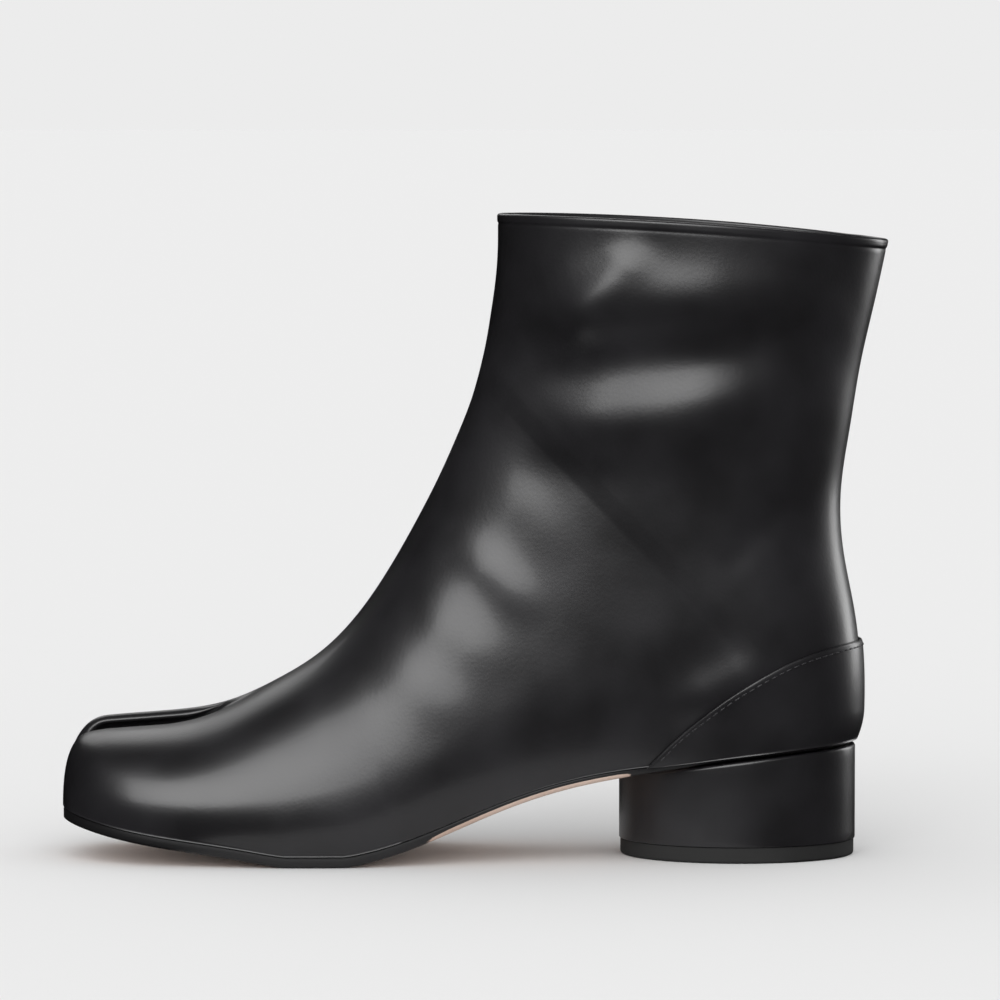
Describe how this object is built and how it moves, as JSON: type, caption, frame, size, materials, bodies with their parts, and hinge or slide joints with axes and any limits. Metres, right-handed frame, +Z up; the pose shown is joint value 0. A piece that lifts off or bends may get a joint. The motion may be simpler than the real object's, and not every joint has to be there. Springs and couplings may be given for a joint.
{
  "type": "split-toe ankle boot",
  "caption": "Left ankle boot with a split toe, smooth shaft, curved heel counter, thin close-trimmed leather sole and a low oval block heel.",
  "frame": {"origin": "middle of the bounding box, on the plane that the boot stands on", "axes": "-X towards the toe, +X towards the heel, -Y towards the outer side of the foot, +Y towards the inner side, +Z up"},
  "size_m": [0.255, 0.0872, 0.199],
  "materials": {
    "calf_leather": "smooth black calf, semi-gloss",
    "sole_leather": "vegetable-tanned sole leather, edge inked black",
    "insole_leather": "matt black lining leather",
    "lift_rubber": "hard black rubber, matt"
  },
  "bodies": {
    "root": {"upper": "calf_leather", "counter": "calf_leather", "outsole": "sole_leather", "insole": "insole_leather", "heel": "calf_leather", "top_lift": "lift_rubber"}
  },
  "joints": []
}
